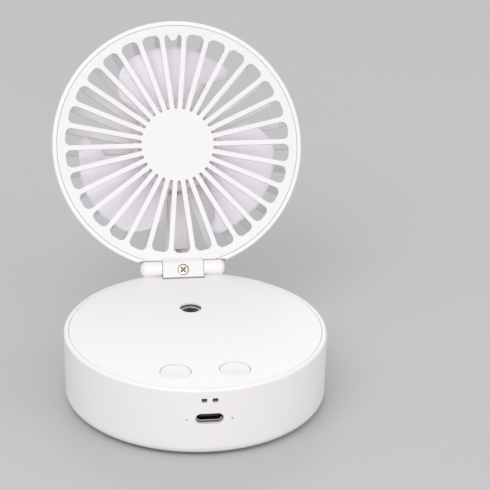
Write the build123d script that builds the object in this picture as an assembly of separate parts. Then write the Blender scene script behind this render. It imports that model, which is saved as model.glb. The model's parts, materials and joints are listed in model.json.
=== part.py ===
"""Folding desk fan: a round base with a mist outlet and two buttons, and a fan head on a hinge.

Frame: +Z up, millimetres, the origin at the centre of the underside where the foot ring stands.
The socket side faces -Y and the hinge is at +Y. The head is modelled on its own front plane
(local Z out of the front, local Y away from the hinge) and then leaned back by head_lean.
"""
from build123d import *
from math import asin, cos, degrees, radians, sin
import os

# ---- base ----
base_radius = 46.0
base_height = 25.5
base_draft = 0.3            # how much smaller the radius is at the bottom
bottom_fillet = 3.0
rim_round = 0.6
shell_wall = 1.7
shell_floor = 2.0
foot_proud = 0.8            # how far the foot ring lifts the shell
foot_sunk = 0.5
foot_inset = 6.0            # rim to the middle of the foot ring
foot_width = 4.0
deck_thickness = 1.4
seam_gap = 0.12
ledge_width = 1.3
ledge_height = 1.2

# ---- deck features ----
mist_hole_diameter = 7.8
mist_y = 16.8
mist_web = 0.7              # deck left above the atomiser pocket
button_diameter = 10.5
button_gap = 0.15
button_x = 10.1
button_inset = 14.7         # rim to the buttons' centres
button_travel = 0.4
button_skirt = 1.2
button_guide = 2.0          # how far the skirt reaches below the deck
button_cap = 2.4
button_round = 0.3

# ---- socket side ----
port_drop = 10.7            # top face to the socket's middle
port_width = 9.5
port_opening = 3.9
led_drop = 3.8              # top face to the middle of the lamp windows
led_x = 1.85
led_width = 1.9
led_opening = 1.6
led_corner = 0.3
led_size = 1.6
guide_sunk = 1.2            # how far the light guides stand back in their windows
guide_length = 3.8
guide_foot = 1.8
pinhole_x = 7.7
pinhole_drop = 0.4          # below the socket's middle
pinhole_diameter = 0.6

# ---- base contents ----
board_thickness = 1.6
board_width = 38.0
board_depth = 17.0
board_back_inset = 21.4     # rim to the board's back edge
post_radius = 2.2
post_inset = 3.0
socket_width = 8.94
socket_height = 3.26
socket_length = 7.3
socket_wall = 0.3
socket_back = 0.8
socket_sunk = 0.3           # inside the wall's inner face
socket_tongue_half = 3.3
socket_tongue_thickness = 0.7
switch_size = 6.0
switch_body_height = 3.5
plunger_radius = 1.7
plunger_proud = 1.0
plunger_root = 0.6
plunger_bore = 0.1
stem_extra = 0.8
cell_headroom = 2.3
cell_length = 65.0
cell_gap = 3.7              # the board's back edge to the cell
cell_lift = 0.6
cell_round = 0.8
cell_cap_radius = 2.8
cell_cap_proud = 1.0
cradle_x = 20.8
cradle_width = 2.0
cradle_depth = 3.0          # cradle's top below the cell's axis
fit_clearance = 0.1         # loose pieces in their seats
tank_half_width = 23.0
tank_front_y = 6.5
tank_back_inset = 12.0      # rim to the tank's back wall
tank_height = 14.0
tank_wall = 1.4
tank_corner = 4.0
neck_wall = 1.5
neck_gap = 0.5
wick_radius = 3.6
disc_radius = 8.0
disc_thickness = 0.65
seal_lip = 0.6
seal_reach = 3.8            # how far the lip covers the disc inward
seal_wall = 0.9
holder_wall = 1.4
retainer_thickness = 1.4
fill_hole_radius = 4.5
fill_y = 25.5
plug_flange = 1.6
plug_tight = 0.05
plug_groove_outer = 3.4
plug_groove_inner = 2.6
plug_groove_depth = 1.0
plug_grip = 1.0
screw_inset = 0.5           # the screws hide above the foot ring, inside its middle
screw_angles = (23, 157, 229, 311)
boss_radius = 3.1
boss_split = 12.0           # height where shell boss and deck boss meet
screw_radius = 1.1
screw_head_radius = 2.0
screw_head_height = 1.4
screw_length = 9.0
screw_depth = 7.0           # height of the screw head's seat
boss_sunk = 0.5

# ---- hinge ----
hinge_inset = 0.5           # rim to the hinge axis
hinge_above_deck = 2.0
ear_radius = 3.0
ear_inner_x = 7.6
ear_outer_x = 15.5
ear_end_round = 2.3
lug_angle = 54.5            # where the lug leaves the barrel, from level
lug_heel = 1.05             # how far the lug's heel stands behind the axis
lug_drop = 10.5             # top face to the lug's foot
knuckle_gap = 0.15          # each side, between the tongue and the ears
turn_clearance = 0.25       # round the ears
tongue_proud = 1.5          # in front of the cover's face
tongue_below = 3.6          # past the hinge axis
tongue_above = 2.1          # from the hinge axis to the end of the proud face
tongue_corner = 0.5
notch_clearance = 0.2
knuckle_foot = 8.0          # how far the rear half runs down the drum
knuckle_room = 1.1
saddle_wall = 1.4
pin_radius = 1.25
pin_running = 0.04
pin_ear_depth = 5.9
pin_end_gap = 0.3
pin_round = 0.2
pin_inner_x = 3.3
bush_radius = 1.95
bush_gap = 0.2

# ---- head ----
head_lean = 29.5            # degrees back from upright
head_offset = 1.5           # hinge axis behind the front face
head_depth = 16.0
band_depth = 7.0            # unbroken part of the drum's side wall
head_taper = 3.4            # radius lost from the front lip to the rear corner
head_corner = 3.0
head_wall = 1.6
head_lip_round = 0.5
cover_thickness = 1.6
slot_count = 30
spoke_width = 1.8
rim_width = 4.7
slot_inner_radius = 13.3
slot_corner = 2.0
slot_root_corner = 0.4
short_slot_cut = 1.3
short_slots = (21, 22, 23)  # counted from +X, the three beside the tongue
tab_width = 5.9
tab_length = 2.6
tab_waist = 1.7             # half-width of the tab's neck
tab_waist_rise = 1.6
tab_tip = 1.2               # half-width where the round tip starts
tab_tip_rise = 0.6
tab_root = 0.3
rear_rib_width = 2.6
rear_slot_inner = 17.0
rear_slot_corner = 1.4
rear_root_corner = 0.2
rear_thickness = 2.0
rear_chamfer = 1.0
duct_slot = 22              # counted from +X, the closed one above the hinge
duct_half_width = 3.2
duct_wall = 0.6
duct_proud = 1.1
duct_groove = 0.8
duct_groove_half = 0.75
duct_end_inset = 8.5        # rim to the end of the duct's roof
lead_radius = 0.6
lead_bend = 2.2
lead_inset = 6.3            # rim to the lead's rise
lead_end = 2.9              # below the hinge axis

# ---- impeller and motor, heights measured back from the front face ----
hub_radius = 16.1
hub_front = 2.6
hub_rear = 12.6
hub_wall = 1.2
blade_front = 5.2
blade_rear = 12.0
blade_thickness = 1.3
blade_count = 3
blade_first = 96.0          # degrees, direction of the first blade's middle
blade_tip_gap = 3.5         # front slots' outer ends to the blade tips
blade_root_sunk = 1.5
near_half_width = 9.5       # half the plate's width near the hub
far_half_width = 25.0       # half the plate's width beyond the tip
plate_spread = 2.2
hub_round = 1.0
sleeve_gap = 0.02
sleeve_short = 1.0
can_radius = 10.9
can_wall = 0.6
can_rear = 12.2
magnet_thickness = 1.2
magnet_front = 6.2
magnet_rear = 11.8
stator_gap = 0.5
stator_front = 7.0
stator_rear = 11.6
stator_teeth = 9
tooth_width = 2.2
tooth_foot = 1.0
coil_wrap = 0.8
stator_ring = 1.4
tube_radius = 3.4
tube_front = 5.4
tube_fit = 0.02
bearing_radius = 2.5
bearing_front = 5.2
bearing_rear = 13.4
shaft_radius = 1.0
shaft_running = 0.03
shaft_rear = 14.6
shaft_end_gap = 0.4
clip_radius = 1.8
clip_thickness = 0.4
clip_front = 13.6
clip_groove = 0.25
clip_fit = 0.02
clip_opening = 1.0
washer_thickness = 0.7
washer_width = 1.1
motor_board_radius = 8.4
motor_board_thickness = 0.9
tongue_screw_head = 1.95
tongue_screw_radius = 1.0
tongue_screw_length = 4.6
tongue_screw_drop = 0.7     # below the hinge axis, along the tongue
tongue_screw_sunk = 0.25
tongue_screw_seat = 1.2
tongue_screw_round = 0.3
recess_width = 0.55
recess_depth = 0.7
recess_share = 1.2          # recess width over the screw head's radius

# ---- worked-out places ----
head_radius = base_radius   # the closed head covers the base
hinge_y = base_radius - hinge_inset
head_reach = hinge_y        # so that the closed head lies over the base's centre
foot_radius = base_radius - foot_inset
screw_circle = foot_radius - screw_inset
button_y = button_inset - base_radius
board_back_y = board_back_inset - base_radius
tank_back_y = base_radius - tank_back_inset
shell_bottom = foot_proud
floor_top = shell_bottom + shell_floor
deck_under = base_height - deck_thickness
seam_radius = base_radius - shell_wall
port_height = base_height - port_drop
led_height = base_height - led_drop
pinhole_height = port_height - pinhole_drop
hinge_z = base_height + hinge_above_deck
ear_bore_end = ear_inner_x + pin_ear_depth
knuckle_x = ear_inner_x - knuckle_gap
tongue_face = head_offset + tongue_proud
tongue_reach = ((tongue_face - tongue_corner) ** 2 + (tongue_below - tongue_corner) ** 2) ** 0.5
sweep_radius = tongue_reach + tongue_corner + notch_clearance
notch_front = hinge_y - sweep_radius
notch_floor = hinge_z - sweep_radius
board_top = port_height - socket_height / 2
board_under = board_top - board_thickness
switch_top = board_top + switch_body_height
plunger_top = switch_top + plunger_proud
cap_under = base_height - button_cap
cell_radius = (deck_under - floor_top - cell_lift - cell_headroom) / 2
cell_z = floor_top + cell_lift + cell_radius
cell_y = board_back_y + cell_gap + cell_radius
disc_top = base_height - mist_web - seal_lip
disc_under = disc_top - disc_thickness
seal_radius = disc_radius + seal_wall
seal_bottom = disc_under - seal_lip
holder_radius = seal_radius + fit_clearance
retainer_bottom = seal_bottom - retainer_thickness
tank_top = floor_top + tank_height
fill_seat_radius = fill_hole_radius + plug_flange
slot_outer_radius = head_radius - rim_width
tip_radius = slot_outer_radius - blade_tip_gap
duct_end = head_radius - duct_end_inset
rear_inside = rear_thickness - head_depth
lead_depth = rear_inside - duct_groove + lead_radius
magnet_outer = can_radius - can_wall
tooth_tip = magnet_outer - magnet_thickness - stator_gap
can_front = -hub_front - hub_wall
lean = radians(head_lean)
head_centre = (
    0,
    hinge_y + head_reach * sin(lean) - head_offset * cos(lean),
    hinge_z + head_reach * cos(lean) + head_offset * sin(lean),
)
head_plane = Plane(origin=head_centre, x_dir=(1, 0, 0), z_dir=(0, -cos(lean), sin(lean)))
pitch = 360 / slot_count
screw_spots = [
    (screw_circle * cos(radians(angle)), screw_circle * sin(radians(angle)))
    for angle in screw_angles
]
past = 1.0                  # how far a cutter runs past what it cuts


def disc(radius, low, high, x=0.0, y=0.0):
    """A solid cylinder along Z between two heights."""
    return Pos(x, y, (low + high) / 2) * Cylinder(radius, high - low)


def tube(outer, inner, low, high, x=0.0, y=0.0):
    """A ring along Z between two heights."""
    return disc(outer, low, high, x, y) - disc(inner, low - past, high + past, x, y)


def block(x0, x1, y0, y1, z0, z1):
    """A box between two corners."""
    centre = Pos((x0 + x1) / 2, (y0 + y1) / 2, (z0 + z1) / 2)
    return centre * Box(x1 - x0, y1 - y0, z1 - z0)


def rod_x(radius, x0, x1, y, z):
    """A solid cylinder along X."""
    return Pos((x0 + x1) / 2, y, z) * Rot(0, 90, 0) * Cylinder(radius, x1 - x0)


def profile_x(points, x0, x1):
    """A closed outline of (y, z) points, extruded along X."""
    face = make_face(Polyline(*[(x0, y, z) for y, z in points], close=True))
    return extrude(face, amount=x1 - x0, dir=(1, 0, 0))


def spun(points):
    """A closed outline of (radius, z) points, turned about the Z axis."""
    face = make_face(Polyline(*[(r, 0, z) for r, z in points], close=True))
    return revolve(face, Axis.Z)


def mirrored(solid):
    """The same solid on the other side of the YZ plane."""
    return mirror(solid, Plane.YZ)


# ---- base ----
def ear():
    """One hinge ear on the +X side: a round-ended barrel on a lug that runs down the wall."""
    barrel = rod_x(ear_radius, ear_inner_x, ear_outer_x, hinge_y, hinge_z)
    barrel = fillet(barrel.edges().sort_by(Axis.X)[-1], ear_end_round)
    back = ear_radius * cos(radians(lug_angle))
    drop = ear_radius * sin(radians(lug_angle))
    inner_y = seam_radius - ear_radius
    ledge_low = base_height - ledge_height
    lug = profile_x(
        [
            (hinge_y - ear_radius, ledge_low),
            (hinge_y - back, hinge_z - drop + back / 2),
            (hinge_y, hinge_z),
            (hinge_y + back, hinge_z - drop),
            (hinge_y + lug_heel, notch_floor - ear_radius / 2),
            (inner_y, base_height - lug_drop),
            (inner_y, ledge_low),
        ],
        ear_inner_x,
        ear_outer_x - ear_end_round / 2,
    )
    return barrel + lug


def ear_bore():
    """The blind bore for one hinge pin."""
    return rod_x(pin_radius, ear_inner_x - past, ear_bore_end, hinge_y, hinge_z)


def shell_outside():
    """The outside of the cup: a drafted wall with a round lower edge and a softened rim."""
    bottom_radius = base_radius - base_draft
    outside = spun(
        [
            (0, shell_bottom),
            (bottom_radius, shell_bottom),
            (base_radius, base_height),
            (0, base_height),
        ]
    )
    outside = fillet(outside.edges().filter_by(GeomType.CIRCLE).sort_by(Axis.Z)[0], bottom_fillet)
    return fillet(outside.edges().filter_by(GeomType.CIRCLE).sort_by(Axis.Z)[-1], rim_round)


def shell_inside():
    """The hollow of the cup, with the ledge that carries the deck left standing."""
    ledge_radius = seam_radius - ledge_width
    ledge_low = deck_under - ledge_height
    corner = bottom_fillet / 2
    return spun(
        [
            (0, floor_top),
            (seam_radius - corner, floor_top),
            (seam_radius, floor_top + corner),
            (seam_radius, ledge_low - ledge_width),
            (ledge_radius, ledge_low),
            (ledge_radius, deck_under),
            (seam_radius, deck_under),
            (seam_radius, base_height + past),
            (0, base_height + past),
        ]
    )


def saddle():
    """The small tray under the deck that closes the notch for the tongue."""
    half = ear_inner_x + saddle_wall
    outer = seam_radius + shell_wall / 2
    y0 = notch_front - saddle_wall
    tray = block(-half, half, y0, outer, notch_floor - saddle_wall, deck_under)
    return tray & disc(outer, 0, base_height)


def notch():
    """The space that the tongue turns in."""
    y1 = hinge_y + ear_radius * 2
    return block(-ear_inner_x, ear_inner_x, notch_front, y1, notch_floor, hinge_z * 2)


def cradles():
    """Two saddles on the floor for the cell."""
    half = cell_length / 2
    seat = rod_x(cell_radius + fit_clearance, -half, half, cell_y, cell_z)
    ribs = []
    for x in (-cradle_x, cradle_x):
        x0 = x - cradle_width / 2
        x1 = x + cradle_width / 2
        top = cell_z - cradle_depth
        rib = block(x0, x1, cell_y - cell_radius, cell_y + cell_radius, floor_top, top)
        ribs.append(rib - seat)
    return ribs


def board_posts():
    """Two posts on the floor under the circuit board."""
    x = board_width / 2 - post_inset
    y = board_back_y - board_depth / 2
    return [disc(post_radius, floor_top, board_under, side * x, y) for side in (-1, 1)]


def through_wall(outline, x, z, depth):
    """A flat outline set upright at (x, z) and cut inwards through the front wall."""
    upright = Pos(x, -base_radius - past, z) * Rot(90, 0, 0) * outline
    return extrude(upright, amount=depth + past, dir=(0, 1, 0))


def front_openings():
    """The socket opening, two lamp windows and two pinholes, as one list of cutters."""
    cutters = [through_wall(SlotOverall(port_width, port_opening), 0, port_height, shell_wall + past)]
    for side in (-1, 1):
        window = RectangleRounded(led_width, led_opening, led_corner)
        cutters.append(through_wall(window, side * led_x, led_height, shell_wall + past))
        pinhole = Circle(pinhole_diameter / 2)
        cutters.append(through_wall(pinhole, side * pinhole_x, pinhole_height, shell_wall * 2))
    return cutters


def base_shell():
    """The cup with its hinge ears, bosses, cradles and openings."""
    shell = shell_outside() + ear() + mirrored(ear()) - shell_inside() + saddle()
    for piece in cradles() + board_posts():
        shell = shell + piece
    for x, y in screw_spots:
        shell = shell + disc(boss_radius, floor_top - boss_sunk, boss_split, x, y)
    for x, y in screw_spots:
        shell = shell - disc(screw_head_radius + fit_clearance * 2, 0, screw_depth, x, y)
        shell = shell - disc(screw_radius + fit_clearance, 0, boss_split + past, x, y)
    shell = shell - notch() - ear_bore() - mirrored(ear_bore())
    for cutter in front_openings():
        shell = shell - cutter
    half = foot_width / 2
    shell = shell - tube(foot_radius + half, foot_radius - half, 0, shell_bottom + foot_sunk)
    return shell - disc(fill_seat_radius, 0, floor_top + past, 0, fill_y)


def top_deck():
    """The flush plate on top, with the mist outlet, button holes and screw bosses."""
    deck = disc(seam_radius - seam_gap, deck_under, base_height)
    hole = button_diameter / 2 + button_gap
    skirt_low = deck_under - button_guide
    for x, y in screw_spots:
        deck = deck + disc(boss_radius, boss_split, deck_under, x, y)
    deck = deck + disc(holder_radius + holder_wall, retainer_bottom, deck_under, 0, mist_y)
    for side in (-1, 1):
        deck = deck + disc(hole + button_skirt, skirt_low, deck_under, side * button_x, button_y)
    for side in (-1, 1):
        deck = deck - disc(hole, skirt_low - past, base_height + past, side * button_x, button_y)
    deck = deck - disc(holder_radius, retainer_bottom - past, base_height - mist_web, 0, mist_y)
    deck = deck - disc(mist_hole_diameter / 2, deck_under, base_height + past, 0, mist_y)
    for x, y in screw_spots:
        deck = deck - disc(screw_radius, boss_split - past, screw_depth + screw_length + past, x, y)
    seat = rod_x(ear_radius + seam_gap, ear_inner_x - past, ear_outer_x + past, hinge_y, hinge_z)
    return deck - notch() - seat - mirrored(seat)


def foot_ring():
    """The rubber ring that the fan stands on."""
    half = foot_width / 2 - fit_clearance
    return tube(foot_radius + half, foot_radius - half, 0, shell_bottom + foot_sunk)


def cross_recess(size, depth):
    """A cross-shaped pocket for a screwdriver, opening at z = 0 and going down."""
    arm = Box(size, recess_width, depth, align=(Align.CENTER, Align.CENTER, Align.MAX))
    return arm + Rot(0, 0, 90) * arm


def base_screws():
    """Four long screws from below, inside the shell's bosses."""
    head_low = screw_depth - screw_head_height
    recess = Rot(180, 0, 0) * cross_recess(screw_head_radius * recess_share, recess_depth)
    screws = []
    for x, y in screw_spots:
        body = disc(screw_head_radius, head_low, screw_depth, x, y)
        body = body + disc(screw_radius, screw_depth, screw_depth + screw_length, x, y)
        screws.append(body - Pos(x, y, head_low) * recess)
    return Compound(children=screws)


def battery_cell():
    """A round rechargeable cell lying across the base, with its raised positive end."""
    half = cell_length / 2
    body = rod_x(cell_radius, -half, half, cell_y, cell_z)
    body = fillet(body.edges(), cell_round)
    return body + rod_x(cell_cap_radius, half - cell_round, half + cell_cap_proud, cell_y, cell_z)


def main_circuit_board():
    """The board on its two posts, with the front corners cut to the round wall."""
    half = board_width / 2
    board = block(-half, half, board_back_y - board_depth, board_back_y, board_under, board_top)
    return board & disc(seam_radius - fit_clearance, 0, base_height)


def usb_c_socket():
    """The metal socket shell on the board, with its tongue."""
    mouth_y = socket_sunk - seam_radius
    place = Pos(0, mouth_y, port_height) * Rot(90, 0, 0)
    inner = SlotOverall(socket_width - 2 * socket_wall, socket_height - 2 * socket_wall)
    outer = extrude(place * SlotOverall(socket_width, socket_height), amount=socket_length, dir=(0, 1, 0))
    hollow = extrude(place * inner, amount=socket_length - socket_back, dir=(0, 1, 0))
    half = socket_tongue_thickness / 2
    tongue = block(
        -socket_tongue_half,
        socket_tongue_half,
        mouth_y + socket_back,
        mouth_y + socket_length,
        port_height - half,
        port_height + half,
    )
    return outer - hollow + tongue


def button_switches():
    """Two square tactile switches on the board, each with a bore for its plunger."""
    half = switch_size / 2
    switches = []
    for x in (-button_x, button_x):
        body = block(x - half, x + half, button_y - half, button_y + half, board_top, switch_top)
        bore = disc(plunger_radius + plunger_bore, board_top + past, switch_top + past, x, button_y)
        switches.append(body - bore)
    return Compound(children=switches)


def plunger(side):
    """The part of a switch that moves with its button."""
    low = switch_top - button_travel - plunger_root
    return disc(plunger_radius, low, plunger_top, side * button_x, button_y)


def button(side):
    """One round button, flush with the deck, with a stem down to its switch."""
    x = side * button_x
    cap = disc(button_diameter / 2, cap_under, base_height, x, button_y)
    cap = fillet(cap.edges().sort_by(Axis.Z)[-1], button_round)
    return cap + disc(plunger_radius + stem_extra, plunger_top, cap_under, x, button_y)


def indicator_leds():
    """Two lamps standing on the board under the light guides."""
    y1 = guide_length + guide_sunk - base_radius
    y0 = y1 - led_size
    half = led_size / 2
    top = led_height - led_opening
    lamps = [
        block(x - half, x + half, y0, y1, port_height + socket_height / 2, top)
        for x in (-led_x, led_x)
    ]
    return Compound(children=lamps)


def led_light_guides():
    """Two smoked blocks that carry the lamps' light out through the windows."""
    y_out = guide_sunk - base_radius
    y_in = y_out + guide_length
    half_w = led_width / 2 - fit_clearance
    half_h = led_opening / 2 - fit_clearance
    half_foot = led_size / 2
    guides = []
    for x in (-led_x, led_x):
        bar = block(x - half_w, x + half_w, y_out, y_in, led_height - half_h, led_height + half_h)
        low = led_height - led_opening
        foot = block(x - half_foot, x + half_foot, y_in - guide_foot, y_in, low, led_height)
        guides.append(bar + foot)
    return Compound(children=guides)


def atomizer_disc():
    """The round vibrating plate under the mist outlet."""
    return disc(disc_radius, disc_under, disc_top, 0, mist_y)


def atomizer_seal():
    """The soft ring that grips the rim of the plate from above and below."""
    ring = tube(seal_radius, disc_radius - seal_reach, seal_bottom, disc_top + seal_lip, 0, mist_y)
    return ring - atomizer_disc()


def atomizer_retainer():
    """The ring pressed up under the seal, with room for the wick."""
    return tube(seal_radius, wick_radius + fit_clearance, retainer_bottom, seal_bottom, 0, mist_y)


def cotton_wick():
    """The wick from the bottom of the tank to the plate."""
    return disc(wick_radius, floor_top + tank_wall, disc_under, 0, mist_y)


def water_tank():
    """The closed tank round the wick, with its filling neck in the floor."""
    half = tank_half_width
    wall = tank_wall
    low = floor_top + wall
    roof = tank_top - wall
    outer = block(-half, half, tank_front_y, tank_back_y, floor_top, tank_top)
    outer = fillet(outer.edges().filter_by(Axis.Z), tank_corner)
    inner = block(-half + wall, half - wall, tank_front_y + wall, tank_back_y - wall, low, roof)
    inner = fillet(inner.edges().filter_by(Axis.Z), tank_corner - wall)
    neck_outer = wick_radius + neck_wall
    tank = outer - inner + disc(neck_outer, roof, retainer_bottom - neck_gap, 0, mist_y)
    tank = tank - disc(wick_radius + fit_clearance, roof - past, base_height, 0, mist_y)
    tank = tank + disc(fill_seat_radius - fit_clearance, shell_bottom, low, 0, fill_y)
    return tank - disc(fill_hole_radius, 0, low + past, 0, fill_y)


def tank_fill_plug():
    """The soft plug in the filling neck, with a finger recess below."""
    low = floor_top + tank_wall
    plug = disc(fill_hole_radius - plug_tight, shell_bottom, low, 0, fill_y)
    depth = shell_bottom + plug_groove_depth
    half = plug_grip / 2
    reach = plug_groove_inner
    grip = block(-reach, reach, fill_y - half, fill_y + half, 0, depth)
    return plug - tube(plug_groove_outer, plug_groove_inner, 0, depth, 0, fill_y) - grip


def hinge_pins():
    """Two short steel pins, one in each ear."""
    pin = rod_x(pin_radius, pin_inner_x, ear_bore_end - pin_end_gap, hinge_y, hinge_z)
    pin = fillet(pin.edges(), pin_round)
    return Compound(children=[pin, mirrored(pin)])


# ---- head, in its own plane: z = 0 is the front face, y points away from the hinge ----
axis_y = -head_reach
axis_z = -head_offset
split_z = -cover_thickness  # the knuckle's halves meet in line with the cover's back
screw_y = axis_y - tongue_screw_drop


def wedge_slot(index, outer, inner, width, corner, inner_corner):
    """The flat outline of one opening between two spokes of constant width."""
    middle = index * pitch + pitch / 2
    half_out = pitch / 2 - degrees(asin(width / 2 / outer))
    half_in = pitch / 2 - degrees(asin(width / 2 / inner))

    def spot(radius, angle):
        return (radius * cos(radians(angle)), radius * sin(radians(angle)))

    def reach(vertex):
        return (vertex.X ** 2 + vertex.Y ** 2) ** 0.5

    outer_arc = ThreePointArc(
        spot(outer, middle - half_out), spot(outer, middle), spot(outer, middle + half_out)
    )
    inner_arc = ThreePointArc(
        spot(inner, middle + half_in), spot(inner, middle), spot(inner, middle - half_in)
    )
    sides = [Line(outer_arc @ 1, inner_arc @ 0), Line(inner_arc @ 1, outer_arc @ 0)]
    face = make_face([outer_arc, sides[0], inner_arc, sides[1]])
    far = face.vertices().filter_by(lambda vertex: reach(vertex) > (outer + inner) / 2)
    face = fillet(far, corner)
    near = face.vertices().filter_by(lambda vertex: reach(vertex) < inner + inner_corner / 2)
    return fillet(near, inner_corner)


def ear_recess():
    """The round channels that the head leaves free for the two ears."""
    channel = rod_x(
        ear_radius + turn_clearance, knuckle_x, ear_outer_x + turn_clearance, axis_y, axis_z
    )
    return channel + mirrored(channel)


def tongue():
    """The front half of the hinge knuckle, proud of the cover, split on the hinge axis."""
    low = axis_y - tongue_below
    top = axis_y + tongue_above
    front = profile_x(
        [
            (low, split_z),
            (low, tongue_proud),
            (top, tongue_proud),
            (top + tongue_proud, 0),
            (top + tongue_proud, split_z),
        ],
        -knuckle_x,
        knuckle_x,
    )
    lower = front.edges().filter_by(Axis.X).sort_by(Axis.Y)[:2].sort_by(Axis.Z)[-1]
    return fillet(lower, tongue_corner)


def bush_bores():
    """Bores for the bushes in the knuckle."""
    bore = rod_x(bush_radius, pin_inner_x - bush_gap, knuckle_x + past, axis_y, axis_z)
    return bore + mirrored(bore)


def tab():
    """The small round-ended tab that hangs from the rim into the top opening."""
    root_y = slot_outer_radius + tab_root
    end_y = slot_outer_radius - tab_length
    root = (tab_width / 2, root_y)
    waist = (tab_waist, end_y + tab_waist_rise)
    tip = (tab_tip, end_y + tab_tip_rise)

    def left(point):
        return (-point[0], point[1])

    outline = [
        Line(left(root), root),
        ThreePointArc(root, waist, tip),
        ThreePointArc(tip, (0, end_y), left(tip)),
        ThreePointArc(left(tip), left(waist), left(root)),
    ]
    return extrude(make_face(outline), amount=-cover_thickness)


def front_grille():
    """The slotted cover with its tongue and the small tab in the top opening."""
    outline = Circle(head_radius - head_wall - seam_gap)
    for index in range(slot_count):
        outer = slot_outer_radius - (short_slot_cut if index in short_slots else 0)
        outline -= wedge_slot(
            index, outer, slot_inner_radius, spoke_width, slot_corner, slot_root_corner
        )
    cover = extrude(outline, amount=-cover_thickness) + tab()
    cover = cover - ear_recess() + tongue() - bush_bores()
    seat_radius = tongue_screw_head + fit_clearance
    seat = disc(seat_radius, tongue_proud - tongue_screw_seat, tongue_proud + past, 0, screw_y)
    hole = disc(tongue_screw_radius + fit_clearance, split_z - past, tongue_proud, 0, screw_y)
    return cover - seat - hole


def drum_outside():
    """The outside of the drum: a plain band in front, then a taper to the rounded back."""
    rear_radius = head_radius - head_taper
    outside = spun(
        [(0, -head_depth), (rear_radius, -head_depth), (head_radius, -band_depth), (head_radius, 0), (0, 0)]
    )
    outside = fillet(outside.edges().filter_by(GeomType.CIRCLE).sort_by(Axis.Z)[0], head_corner)
    return fillet(outside.edges().filter_by(GeomType.CIRCLE).sort_by(Axis.Z)[-1], head_lip_round)


def drum_inside():
    """The hollow of the drum, with the ledge that carries the cover left standing."""
    rear_radius = head_radius - head_taper - head_wall
    seat = head_radius - head_wall
    ledge_radius = seat - ledge_width
    ledge_low = -cover_thickness - ledge_height
    return spun(
        [
            (0, rear_inside),
            (rear_radius - rear_chamfer, rear_inside),
            (rear_radius, rear_inside + rear_chamfer),
            (seat, -band_depth),
            (seat, ledge_low - ledge_width),
            (ledge_radius, ledge_low),
            (ledge_radius, -cover_thickness),
            (seat, -cover_thickness),
            (seat, past),
            (0, past),
        ]
    )


def rear_openings():
    """The openings between the rear ribs, which run out through the side wall behind the band."""
    flat = Sketch()
    for index in range(slot_count):
        if index != duct_slot:
            flat += wedge_slot(
                index,
                head_radius + rim_width,
                rear_slot_inner,
                rear_rib_width,
                rear_slot_corner,
                rear_root_corner,
            )
    return extrude(Pos(0, 0, -head_depth - past) * flat, amount=head_depth + past - band_depth)


def duct():
    """The low roofed channel for the motor's lead along the closed rear opening."""
    top = rear_inside + duct_proud
    return block(-duct_half_width, duct_half_width, -duct_end, -rear_slot_inner, rear_inside, top)


def duct_hollow():
    """The channel inside the duct and the groove that leads to it from the drive board."""
    groove_low = rear_inside - duct_groove
    half = duct_groove_half
    top = rear_inside + duct_proud - duct_wall
    inside = block(-half, half, -duct_end - past, -rear_slot_inner + past, groove_low, top)
    rise = block(-half, half, -lead_rise - half, -duct_end, groove_low, top)
    groove = block(-half, half, -rear_slot_inner, -motor_board_radius, groove_low, top)
    return inside + rise + groove


def rear_knuckle():
    """The rear half of the hinge knuckle, which grows out of the drum's wall."""
    low = axis_y - tongue_below
    high = axis_y + tongue_below
    barrel = rod_x(tongue_below, -knuckle_x, knuckle_x, axis_y, axis_z)
    foot = profile_x(
        [
            (low, axis_z),
            (axis_y, axis_z - tongue_below),
            (high, axis_z - knuckle_foot),
            (high, axis_z),
        ],
        -knuckle_x,
        knuckle_x,
    )
    ahead = block(-head_radius, head_radius, low - past, high + past, split_z, tongue_face)
    return barrel + foot - ahead


def rear_housing():
    """The drum with its rear grille, motor tube, wire duct and rear half of the knuckle."""
    drum = drum_outside() - drum_inside() - rear_openings()
    drum = drum + disc(tube_radius, rear_inside - past, -tube_front)
    drum = drum - disc(bearing_radius + tube_fit, -shaft_rear - shaft_end_gap, 0)
    drum = drum + duct() - duct_hollow()
    half = knuckle_x + seam_gap
    low = axis_y - tongue_below - past
    drum = drum - block(-half, half, low, axis_y + tongue_below + knuckle_room, split_z, past)
    drum = drum + rear_knuckle() - ear_recess() - bush_bores() - lead_way()
    low_end = tongue_proud - tongue_screw_length - tongue_screw_seat
    return drum - disc(tongue_screw_radius, low_end, 0, 0, screw_y)


def tongue_screw():
    """The cross-head screw that clamps the two halves of the knuckle."""
    top = tongue_proud - tongue_screw_sunk
    seat = tongue_proud - tongue_screw_seat
    head = disc(tongue_screw_head, seat, top, 0, screw_y)
    head = fillet(head.edges().sort_by(Axis.Z)[-1], tongue_screw_round)
    body = head + disc(tongue_screw_radius, top - tongue_screw_length, seat, 0, screw_y)
    recess = cross_recess(tongue_screw_head * recess_share, recess_depth)
    return body - Pos(0, screw_y, top) * recess


def hinge_bushes():
    """Two sleeves that grip the pins and hold the head at any angle."""
    sleeve = rod_x(bush_radius, pin_inner_x, knuckle_x, axis_y, axis_z)
    bore = rod_x(pin_radius + pin_running, pin_inner_x - past, knuckle_x + past, axis_y, axis_z)
    return Compound(children=[sleeve - bore, mirrored(sleeve - bore)])


# ---- motor ----
def stator_core():
    """The laminated core: a ring with radial teeth on the motor tube."""
    half = tooth_width / 2
    core = disc(tube_radius + stator_ring, -stator_rear, -stator_front)
    tooth = block(tube_radius, tooth_tip - tooth_foot / 2, -half, half, -stator_rear, -stator_front)
    shoe = tube(tooth_tip, tooth_tip - tooth_foot, -stator_rear, -stator_front)
    shoe = shoe & block(0, tooth_tip, -tooth_width, tooth_width, -stator_rear, -stator_front)
    for index in range(stator_teeth):
        core = core + Rot(0, 0, index * 360 / stator_teeth) * (tooth + shoe)
    return core - disc(tube_radius + tube_fit, -stator_rear - past, 0)


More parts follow.
